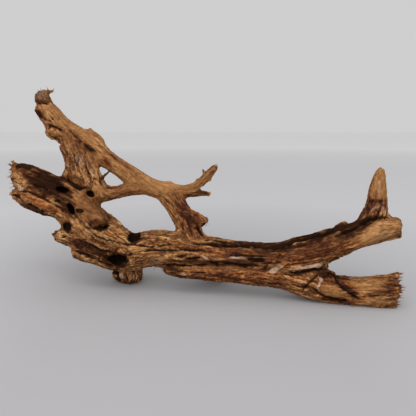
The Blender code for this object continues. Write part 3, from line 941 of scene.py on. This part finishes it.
@dataclass(frozen=True)
class Sketch:
    """One material's nodes, added and linked by plain calls."""

    made: bpy.types.Material

    @classmethod
    def begin(cls, name: str) -> Sketch:
        """Starts a material of that name."""
        made = bpy.data.materials.new(name)
        made.use_nodes = True
        return cls(made)

    @property
    def shader(self) -> bpy.types.Node:
        """The material's Principled shader."""
        return self.made.node_tree.nodes["Principled BSDF"]

    def feed(self, socket: Socket, value: object) -> None:
        """Links a socket to value, or sets it to a plain value."""
        if isinstance(value, Socket):
            self.made.node_tree.links.new(value, socket)
        else:
            socket.default_value = value

    def add(self, kind: str, inputs: dict[str | int, object], **settings: object) -> bpy.types.Node:
        """Adds a node.

        Args:
            kind: The node's type, without its ShaderNode prefix.
            inputs: The values or sockets of its inputs.
            settings: Its own settings.

        Returns:
            The node.
        """
        node = self.made.node_tree.nodes.new("ShaderNode" + kind)
        for name, value in settings.items():
            setattr(node, name, value)
        for key, value in inputs.items():
            self.feed(node.inputs[key], value)
        return node

    def stored(self, name: str, output: str = "Fac") -> Socket:
        """A value, or a place with the output Vector, that is stored on the mesh's points."""
        return self.add("Attribute", {}, attribute_name=name).outputs[output]

    def sum(self, terms: list[tuple[Socket, float | Socket]], base: float) -> Socket:
        """The base plus each value times its weight."""
        total = base
        for value, weight in terms:
            inputs = {0: value, 1: weight, 2: total}
            total = self.add("Math", inputs, operation="MULTIPLY_ADD").outputs[0]
        return total

    def times(self, first: object, second: object) -> Socket:
        """The product of two values, kept from 0 to 1."""
        return self.add("Math", {0: first, 1: second}, operation="MULTIPLY", use_clamp=True).outputs[0]

    def mix(self, share: object, first: object, second: object) -> Socket:
        """The first colour turned towards the second by that share."""
        inputs = {SHARE: share, COLOUR_A: first, COLOUR_B: second}
        return self.add("Mix", inputs, data_type="RGBA").outputs[COLOUR_OUT]

    def ramp(self, value: object, stops: tuple[tuple[float, Colour], ...]) -> Socket:
        """The value turned into a colour by its stops."""
        node = self.add("ValToRGB", {0: value})
        elements = node.color_ramp.elements
        while len(elements) < len(stops):
            elements.new(0.5)
        for element, (place, colour) in zip(elements, stops):
            element.position = place
            element.color = colour.rgba
        return node.outputs[0]

    def span(self, value: object, low: float, high: float) -> Socket:
        """A value from 0 to 1 spread between low and high."""
        return self.add("MapRange", {"Value": value, "To Min": low, "To Max": high}).outputs[0]

    def crisp(self, value: object, low: float, high: float) -> Socket:
        """The value with a firmer edge: 0 at low and 1 at high."""
        return self.add("MapRange", {"Value": value, "From Min": low, "From Max": high}).outputs[0]

    def greater(self, first: object, second: object) -> Socket:
        """The greater of two values."""
        return self.add("Math", {0: first, 1: second}, operation="MAXIMUM").outputs[0]

    def noise(self, place: Socket, stretch: float, **inputs: float) -> Socket:
        """Noise at a place whose third measure is stretched by that much."""
        stretched = self.add("Mapping", {"Vector": place, "Scale": (1.0, 1.0, stretch)}).outputs[0]
        return self.add("TexNoise", {"Vector": stretched, **inputs}).outputs[0]

    def finish(self, inputs: dict[str, object]) -> bpy.types.Material:
        """Feeds the shader and gives the material."""
        for name, value in inputs.items():
            self.feed(self.shader.inputs[name], value)
        return self.made


@dataclass(frozen=True)
class WeatheredWood:
    """Bare driftwood: a long dark grain lightened on its ridges by painted highlight, splits and hollows
    blackened by painted shade, char patches mixed with painted shade, ember and pale patches, and gold
    patches mixed with painted highlight.
    """

    name: str = "weathered_wood"
    umber: Colour = Colour(0.036, 0.0125, 0.0055)
    brown: Colour = Colour(0.135, 0.047, 0.0155)
    tan: Colour = Colour(0.292, 0.130, 0.042)
    straw: Colour = Colour(0.550, 0.298, 0.122)
    char_and_shade: Colour = Colour(0.022, 0.0085, 0.005)
    rust: Colour = Colour(0.026, 0.0068, 0.003)
    ember: Colour = Colour(0.118, 0.033, 0.0095)
    flame: Colour = Colour(0.290, 0.098, 0.026)
    spark: Colour = Colour(0.560, 0.240, 0.075)
    pale: Colour = Colour(0.600, 0.405, 0.285)
    shade_black: Colour = Colour(0.009, 0.005, 0.003)
    roughness_low: float = 0.55
    roughness_high: float = 0.85
    specular: float = 0.12
    fibre_scale: float = 0.46
    dash_scale: float = 0.62
    dash_length: float = 1.8
    speckle_scale: float = 0.55
    speckle_length: float = 3.6
    relief: float = 0.0014
    stops: tuple[float, ...] = (0.05, 0.36, 0.62, 0.95)

    def material(self) -> bpy.types.Material:
        """Makes the material."""
        sketch = Sketch.begin(self.name)
        grain_and_ridge_highlight, fine, patch = (sketch.stored(name) for name in ("grain_and_ridge_highlight", "fine", "patch"))
        crevice_shade, weight, calm = (sketch.stored(name) for name in ("crevice_shade", "fibre_weight", "calm"))
        char_and_shade, ember, pale, gold_and_highlight = (sketch.stored(tone.value) for tone in Tone)
        place = sketch.stored("fibre", "Vector")
        noise = sketch.noise(place, 1.0, Scale=self.fibre_scale, Detail=3.0, Roughness=0.65)
        dots = sketch.noise(place, self.dash_length, Scale=self.dash_scale, Detail=1.0)
        speckle = sketch.noise(
            place, self.speckle_length, Scale=self.speckle_scale, Detail=2.0, Roughness=0.7
        )
        dash = sketch.times(weight, sketch.crisp(dots, 0.44, 0.34))
        fibre = sketch.add(
            "Mix", {SHARE: weight, VALUE_A: 0.5, VALUE_B: noise}, data_type="FLOAT"
        ).outputs[0]
        # The grain's tone is lighter on its raised ridges, a painted highlight.
        grain = sketch.sum([(grain_and_ridge_highlight, 0.42), (fine, 0.40), (fibre, 1.35), (speckle, 1.2)], -1.685)
        contrast = sketch.sum([(calm, -0.48), (ember, 0.25), (char_and_shade, 0.1)], 0.94)
        # Gold patches lighten the wood, partly as painted highlight; char patches darken it, partly as
        # painted shade.
        terms = [(grain, contrast), (patch, 0.20), (gold_and_highlight, 0.20), (char_and_shade, -0.10), (ember, -0.12)]
        shade = sketch.sum(terms, 0.405)
        plain, red = (
            sketch.ramp(shade, tuple(zip(self.stops, colours)))
            for colours in (
                (self.umber, self.brown, self.tan, self.straw),
                (self.rust, self.ember, self.flame, self.spark),
            )
        )
        colour = sketch.mix(sketch.greater(ember, sketch.times(char_and_shade, 0.95)), plain, red)
        bare = sketch.times(sketch.crisp(pale, 0.15, 0.7), sketch.span(speckle, 0.45, 1.0))
        # Char patches, partly painted shade under lips and in hollows, turn towards the darkest colour.
        char_and_shade_share = sketch.times(char_and_shade, sketch.span(fibre, 1.3, 0.68))
        dashed = sketch.times(dash, sketch.span(calm, 0.7, 0.42))
        # Painted shade: the splits, cracks and pits are turned towards black.
        crevice_shade_share = sketch.times(sketch.crisp(crevice_shade, 0.2, 0.62), 0.92)
        layers = ((bare, self.pale), (char_and_shade_share, self.char_and_shade), (dashed, self.umber), (crevice_shade_share, self.shade_black))
        for share, layer in layers:
            colour = sketch.mix(share, colour, layer.rgba)
        relief = sketch.sum([(fibre, 0.7), (speckle, 0.6), (fine, 0.3), (dash, -0.35)], 0.0)
        strength = sketch.span(calm, 0.9, 0.45)
        bump = sketch.add("Bump", {"Height": relief, "Distance": self.relief, "Strength": strength})
        return sketch.finish({
            "Base Color": colour,
            "Roughness": sketch.span(grain_and_ridge_highlight, self.roughness_high, self.roughness_low),
            "Normal": bump.outputs[0],
            "Specular IOR Level": sketch.span(sketch.greater(crevice_shade, char_and_shade), self.specular, 0.0),
        })


@dataclass(frozen=True)
class Growth:
    """A small twig or nub: drawn stations of (across, down, set back, half width).

    Where it lies on the wood's face, the set back is measured from that face.
    """

    name: str
    stations: tuple[tuple[float, float, float, float], ...]
    on_face: bool = False
    sides: int = 10

    def seated(self, wood: Piece) -> Points:
        """The stations with their full set back."""
        table = np.array(self.stations, float)
        face = 0.0
        for row in table if self.on_face else ():
            sight = SHEET.sight(SHEET.place(row[:3]))[0]
            hit, point, _, _ = wood.ray_cast(Vector(SHEET.eye) * MM, Vector(sight))
            face = SHEET.draw(np.array(point)[None] / MM)[0, 2] if hit else face
            row[2] += face
        return table

    def build(self, wood: Piece) -> Piece:
        """Extrudes a ring along the stations, in metres."""
        table = self.seated(wood)
        points = [Vector(point) * MM for point in SHEET.place(table[:, :3])]
        way = (points[1] - points[0]).normalized()
        bpy.ops.object.select_all(action="DESELECT")
        bpy.ops.mesh.primitive_circle_add(
            vertices=self.sides, radius=table[0, 3] * MM, fill_type="NGON",
            location=points[0], rotation=way.to_track_quat("Z", "Y").to_euler(),
        )
        made = bpy.context.active_object
        made.name = self.name
        bpy.ops.object.transform_apply(location=True, rotation=True, scale=True)
        bpy.ops.object.mode_set(mode="EDIT")
        bpy.ops.mesh.select_all(action="SELECT")
        for k in range(1, len(points)):
            move = {"value": points[k] - points[k - 1]}
            bpy.ops.mesh.extrude_region_move(TRANSFORM_OT_translate=move)
            growth = table[k, 3] / table[k - 1, 3]
            bpy.ops.transform.resize(value=(growth,) * 3, center_override=points[k])
        bpy.ops.mesh.select_all(action="SELECT")
        bpy.ops.mesh.normals_make_consistent(inside=False)
        bpy.ops.object.mode_set(mode="OBJECT")
        return made


GROWTHS = (
    Growth("nub", ((336, 234, -4, 6), (342, 227, -4, 4.2), (346, 223.5, -4, 2.4))),
    Growth("arm_twig_a", ((199, 187, 36, 2.2), (199, 182, 35, 1.6), (197, 178, 34, 1.2))),
    Growth("arm_twig_b", ((205, 178, 33, 2.2), (204, 173, 33, 1.5), (203, 169, 33, 1.2))),
    Growth("arm_twig_c", ((208, 177, 33, 2.0), (211, 180, 32, 1.3), (210, 182, 32, 1.1))),
    Growth("tip_lump", ((42, 100, 73, 5.5), (41.5, 94, 73, 6.2), (43, 91, 73, 4.6))),
    Growth("tip_hook", ((50, 92, 73, 1.8), (53, 91, 72, 1.2), (55, 89, 71, 1.1))),
    Growth("tip_barb", ((40, 94, 73, 3), (36, 96, 73, 2.0), (34.5, 95, 73, 1.2))),
    Growth("flap", ((47, 118, 70, 4.5), (41, 114, 70, 3.6), (36.5, 110.5, 70, 2.6),
                    (34.5, 109.5, 70, 1.6))),
    Growth("knob", ((66, 136, 63, 6), (57, 133.5, 60, 5.4), (50, 131.5, 59, 4.4), (46.5, 130.5, 60, 3))),
    Growth("bump_spur_a", ((80, 134, 62, 3), (79, 129, 62, 1.8), (78, 126.5, 62, 1.2))),
    Growth("bump_spur_b", ((91, 134, 61, 3), (91, 130, 61, 2), (89.5, 127.5, 61, 1.3))),
    Growth("log_barb_a", ((16, 170, 46, 4), (11, 166, 46, 2.0), (9, 163, 46, 1.3))),
    Growth("log_barb_b", ((18, 168, 50, 4), (14, 163, 50, 2.0), (13.5, 160, 50, 1.3))),
    Growth("log_barb_c", ((16, 178, 47, 4), (11, 178, 47, 2.4), (9.5, 175, 47, 1.4))),
    Growth("log_barb_d", ((20, 196, 36, 4), (13, 197, 37, 2.2), (10, 194, 37, 1.3))),
    Growth("ridge_shard", ((40, 211, 32, 3.5), (46, 214.5, 32, 2.6), (53, 215, 32, 1.5))),
    Growth("root_shard", ((67, 238, 29, 6.5), (60.5, 237, 30, 6), (55.5, 235.5, 30.5, 4),
                          (52, 234.3, 31, 1.5))),
    Growth("loop_edge", ((104, 213.5, 3, 3.4), (113, 221.8, 3, 4.2), (121, 228.6, 3, 3.6)), True),
    Growth("stub_lip", ((122, 271, 46, 6), (115, 273, 43, 4.6), (112, 276, 41, 2.8), (115, 278, 41, 1.6))),
    Growth("stub_toe", ((128, 275, 46, 8), (134, 277, 44, 6), (140, 275, 43, 3.4))),
    Growth("prong_barb_a", ((388, 281, -12, 5), (395, 275, -12, 3), (398, 272.5, -12, 1.8))),
    Growth("prong_barb_b", ((376, 280, -12, 4), (380, 276, -12, 2.6), (377, 273.5, -12, 1.5))),
    Growth("prong_barb_c", ((384, 302, -12, 5), (389, 306, -12, 3), (386, 308.5, -12, 1.6))),
    Growth("loop_twig", ((100, 181, 48, 2.2), (104, 176, 47, 1.3), (108, 172.5, 48, 1.2),
                         (112, 169, 52, 2.2))),
    Growth("stub_tip", ((202, 221, 22, 4.5), (206, 221, 22, 3.2), (208.5, 218, 22, 1.5))),
    Growth("post_shard", ((196, 224, 20, 2.4), (200, 229, 19, 1.8), (205, 235, 18, 1.6))),
    Growth("twig_tip", ((204, 193, 35, 3.0), (209, 194, 35, 2.2), (211, 191.5, 35, 1.3))),
    Growth("pale_strip", ((285, 271.2, 0.2, 1.5), (300, 269, 0.2, 1.9), (313, 267, 0.2, 1.9),
                          (325, 264.5, 0.4, 1.3)), True),
    Growth("pale_chip", ((267, 273, 0.2, 1.5), (275, 270, 0.6, 2.8), (283, 266, 0.2, 1.5)), True),
    Growth("fork_chip", ((317, 288, 0.2, 1.3), (320, 282, 0.4, 1.9), (322.5, 278, 0.2, 1.2)), True),
    Growth("crotch", ((318, 274, -9, 5), (328, 272.2, -9, 4.8), (336, 276.2, -10, 3.2))),
    Growth("block_rim", ((386, 229, -9, 9.0), (394, 228.6, -9, 9.6), (400, 228.4, -9, 9.2))),
    Growth("block_corner", ((388, 222, -9, 4.6), (395, 221.4, -9, 4.6), (400.5, 221.2, -9, 4.3))),
    Growth("block_under", ((340, 250, -4, 4.5), (358, 243, -6, 6), (376, 238, -8, 6.5),
                           (395, 233, -9, 6.3))),
    Growth("spike_flank", ((374, 206, -2, 7), (372.5, 190, -2, 5.0), (375.5, 177, 0, 3.0))),
    Growth("spike_tip", ((380, 177, -1, 3.8), (381.5, 172, -1, 3.0), (383, 168.8, -1, 1.4))),
    Growth("lobe_lip", ((86, 221.5, 23, 2.4), (93, 224.3, 19, 3.0), (100, 225.2, 17, 3.2),
                        (107, 222.3, 18, 2.6))),
    Growth("trunk_lip", ((140, 238, 18, 3), (146, 236, 20, 2.6), (152, 237, 22, 2.4))),
)


@dataclass
class DriftwoodSkin:
    """The wood itself: one closed skin, carved along its grain."""

    carver: Carver
    name: str = "driftwood_skin"
    first_voxel: float = 1.5
    voxel: float = 1.245
    weld: float = 1e-6
    softening: float = 0.5
    sole_height: float = 3.0
    sole_base: float = 0.4

    def build(self) -> Piece:
        """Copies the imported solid, joins the growths, and carves the skin."""
        only(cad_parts[CAD_NODE])
        bpy.ops.object.duplicate()
        made = bpy.context.active_object
        made.name = made.data.name = self.name
        made.parent = None
        for key in list(made.keys()):
            del made[key]
        bpy.ops.object.mode_set(mode="EDIT")
        bpy.ops.mesh.select_all(action="SELECT")
        bpy.ops.mesh.remove_doubles(threshold=self.weld)
        bpy.ops.object.mode_set(mode="OBJECT")
        self._remesh(made, self.first_voxel, 4)
        join(made, [growth.build(made) for growth in GROWTHS])
        self._remesh(made, self.voxel, 2)
        made = self._whole(made)
        self._carve(made)
        bpy.ops.object.shade_smooth()
        return made

    def _remesh(self, made: Piece, voxel: float, rounds: int) -> None:
        """Makes one closed even mesh of it, and softens it that many times."""
        finish_modifier(made, "REMESH", mode="VOXEL", voxel_size=voxel * MM)
        finish_modifier(made, "SMOOTH", factor=self.softening, iterations=rounds)

    def _whole(self, made: Piece) -> Piece:
        """Drops the crumbs that the remesh leaves loose beside the skin."""
        only(made)
        bpy.ops.mesh.separate(type="LOOSE")
        parts = sorted(bpy.context.selected_objects, key=lambda part: len(part.data.vertices))
        for crumb in parts[:-1]:
            bpy.data.objects.remove(crumb)
        whole = only(parts[-1])
        whole.name = whole.data.name = self.name
        return whole

    def _carve(self, made: Piece) -> None:
        """Moves the skin's points and stores their looks."""
        points, normals = read_points(made.data)
        moves, looks = self.carver.carve(points, normals)
        moves = self.carver.tear(points, moves)
        moves *= smooth_step(self.sole_base, self.sole_height, points[:, 2])[:, None]
        points = points + moves
        points[:, 2] = np.maximum(points[:, 2], 0.0)
        write_points(made.data, points)
        write_looks(made.data, looks)


@dataclass
class Fibres:
    """The thin torn fibres that stand out of the broken ends, in millimetres."""

    carver: Carver
    length: float = 4.5
    thickness: float = 0.7
    sides: int = 5
    cuts: int = 3
    tip: float = 0.08
    bend: float = 0.45
    sway: float = 0.12
    sway_rate: float = 5.0
    outward: float = 0.7
    scatter: float = 0.35
    sizes: tuple[float, float] = (0.6, 1.4)
    root_depth: float = 0.8
    floor_gap: float = 0.3
    seed: int = 31

    def _pattern(self) -> Piece:
        """Models one bent fibre, 1 mm long and 1 mm thick, along +Z."""
        bpy.ops.object.select_all(action="DESELECT")
        bpy.ops.mesh.primitive_cone_add(
            vertices=self.sides, radius1=0.5, radius2=self.tip, depth=1.0, location=(0.0, 0.0, 0.5)
        )
        made = bpy.context.active_object
        bpy.ops.object.transform_apply(location=True, rotation=True, scale=True)
        bpy.ops.object.mode_set(mode="EDIT")
        bpy.ops.mesh.select_all(action="DESELECT")
        bpy.ops.object.mode_set(mode="OBJECT")
        for edge in made.data.edges:
            ends = [made.data.vertices[k].co.z for k in edge.vertices]
            edge.select = abs(ends[0] - ends[1]) > 0.5
        bpy.ops.object.mode_set(mode="EDIT")
        bpy.ops.mesh.subdivide(number_cuts=self.cuts)
        bpy.ops.object.mode_set(mode="OBJECT")
        for vertex in made.data.vertices:
            vertex.co.x += self.bend * vertex.co.z**2
            vertex.co.y += self.sway * math.sin(self.sway_rate * vertex.co.z)
        return made

    def _fibre(
        self, pattern: Piece, name: str, root: Points, lean: Points, spin: float, size: float
    ) -> Piece:
        """Copies the pattern to the root, along its lean, in metres."""
        place = Matrix.Translation(Vector(root - self.root_depth * lean))
        turn = Vector(lean).to_track_quat("Z", "Y").to_matrix().to_4x4()
        thick = self.thickness * size
        scale = Matrix.Diagonal((thick, thick, self.length * size, 1.0))
        mesh = pattern.data.copy()
        placed = place @ turn @ Matrix.Rotation(spin, 4, "Z") @ scale
        mesh.transform(Matrix.Scale(MM, 4) @ placed)
        made = bpy.data.objects.new(name, mesh)
        bpy.context.scene.collection.objects.link(made)
        return made

    def build(self, skin: Piece) -> list[Piece]:
        """Makes one tuft of fibres for each broken end, rooted in the skin.

        Args:
            skin: The carved wood.

        Returns:
            The tufts.
        """
        draws = np.random.default_rng(self.seed)
        pattern = self._pattern()
        skin_points, skin_normals = read_points(skin.data)
        tufts = []
        for k, end in enumerate(ENDS):
            if not end.fibres:
                continue
            way = unit(np.array(end.way, float))
            gap = np.linalg.norm(skin_points - end.centre, axis=1)
            near = (gap < end.radius) & (skin_normals @ way > 0.1)
            copies = []
            for root in draws.choice(np.flatnonzero(near), end.fibres):
                scatter = draws.normal(0.0, self.scatter, 3)
                lean = unit(way + self.outward * skin_normals[root] + scatter)
                spin = draws.uniform(0, math.tau)
                size = draws.uniform(*self.sizes)
                name = f"end_fibres_{k}"
                copies.append(self._fibre(pattern, name, skin_points[root], lean, spin, size))
            tuft = join(copies[0], copies[1:])
            points, normals = read_points(tuft.data)
            points[:, 2] = np.maximum(points[:, 2], self.floor_gap)
            write_points(tuft.data, points)
            write_looks(tuft.data, self.carver.carve(points, normals)[1])
            tufts.append(tuft)
        bpy.data.objects.remove(pattern)
        return tufts


@dataclass(frozen=True)
class PalePaint:
    """The plain, matt, pale floor, with painted light: its colour is darker near the wood and lighter far
    beside and behind it.
    """

    name: str = "studio_pale_painted_light"
    near: Colour = Colour(0.42, 0.412, 0.422)
    middle: Colour = Colour(0.60, 0.595, 0.612)
    far: Colour = Colour(0.96, 0.96, 0.97)
    near_reach: float = 0.12
    middle_reach: float = 0.6
    far_reach: float = 4.0
    roughness: float = 0.95

    def material(self) -> bpy.types.Material:
        """Makes the material."""
        sketch = Sketch.begin(self.name)
        place = sketch.add("TexCoord", {}).outputs["Object"]
        limit = (-self.far_reach, 0.0, 0.0)
        behind = sketch.add("VectorMath", {0: place, 1: limit}, operation="MAXIMUM").outputs[0]
        reach = sketch.add("VectorMath", {0: behind}, operation="LENGTH").outputs["Value"]
        share = sketch.add("MapRange", {"Value": reach, "From Max": self.far_reach}).outputs[0]
        near = self.near_reach / self.far_reach
        middle = self.middle_reach / self.far_reach
        # Painted light: the floor's own colour grows lighter with distance from the wood.
        colour = sketch.ramp(share, ((near, self.near), (middle, self.middle), (1.0, self.far)))
        return sketch.finish(
            {"Base Color": colour, "Roughness": self.roughness, "Specular IOR Level": 0.0}
        )


@dataclass(frozen=True)
class SoftLight:
    """A square soft light that faces the wood, in metres and watts."""

    name: str
    place: tuple[float, float, float]
    size: float
    power: float
    target: tuple[float, float, float] = (0.0, 0.0, 0.08)

    def build(self) -> None:
        """Adds the light."""
        bpy.ops.object.light_add(type="AREA", location=self.place)
        made = bpy.context.active_object
        made.name = self.name
        made.data.size = self.size
        made.data.energy = self.power
        way = Vector(self.target) - Vector(self.place)
        made.rotation_euler = way.to_track_quat("-Z", "Y").to_euler()


LIGHTS = (
    SoftLight("key_light", (-0.3, -1.25, 1.05), 2.0, 25.0),
    SoftLight("top_light", (0.3, 0.1, 1.7), 2.4, 4.0),
)


@dataclass
class Studio:
    """The wide floor, the soft lights and the camera."""

    floor_size: float = 60.0
    lens: float = 39.98
    sensor: float = 36.0
    clip_start: float = 0.01
    sky: float = 0.62

    def build(self) -> None:
        """Makes the floor, the lights and the camera."""
        self._floor()
        for light in LIGHTS:
            light.build()
        self._sky()
        self._camera()

    def _floor(self) -> Piece:
        """A wide flat floor under the wood."""
        bpy.ops.object.select_all(action="DESELECT")
        bpy.ops.mesh.primitive_plane_add(size=self.floor_size)
        made = bpy.context.active_object
        made.name = "studio_floor"
        made.data.materials.append(PalePaint().material())
        return made

    def _sky(self) -> None:
        """Sets a plain even sky."""
        world = bpy.data.worlds.new("studio_sky")
        bpy.context.scene.world = world
        world.use_nodes = True
        sky = world.node_tree.nodes["Background"]
        sky.inputs["Color"].default_value = Colour(1.0, 1.0, 1.0).rgba
        sky.inputs["Strength"].default_value = self.sky
        bpy.context.scene.view_settings.view_transform = "Standard"

    def _camera(self) -> None:
        """Puts the camera at the drawing's eye."""
        turn = (math.pi / 2.0 - SHEET.tilt, 0.0, 0.0)
        bpy.ops.object.camera_add(location=Vector(SHEET.eye) * MM, rotation=turn)
        made = bpy.context.active_object
        made.data.lens = self.lens
        made.data.sensor_width = self.sensor
        made.data.clip_start = self.clip_start
        bpy.context.scene.camera = made


def keep(piece: Piece, finish: bpy.types.Material) -> None:
    """Dresses a finished piece, seats it on the body and reports it."""
    piece.data.materials.clear()
    piece.data.materials.append(finish)
    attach(piece, BODY)
    log.info("%s: %d faces", piece.name, len(piece.data.polygons))


def main() -> None:
    """Builds the wood, its fibres and the studio."""
    logging.basicConfig(level=logging.INFO)
    carver = Carver(GrainFlow())
    finish = WeatheredWood().material()
    skin = DriftwoodSkin(carver).build()
    keep(skin, finish)
    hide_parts(CAD_NODE)
    for tuft in Fibres(carver).build(skin):
        keep(tuft, finish)
    Studio().build()


if __name__ == "__main__":
    main()
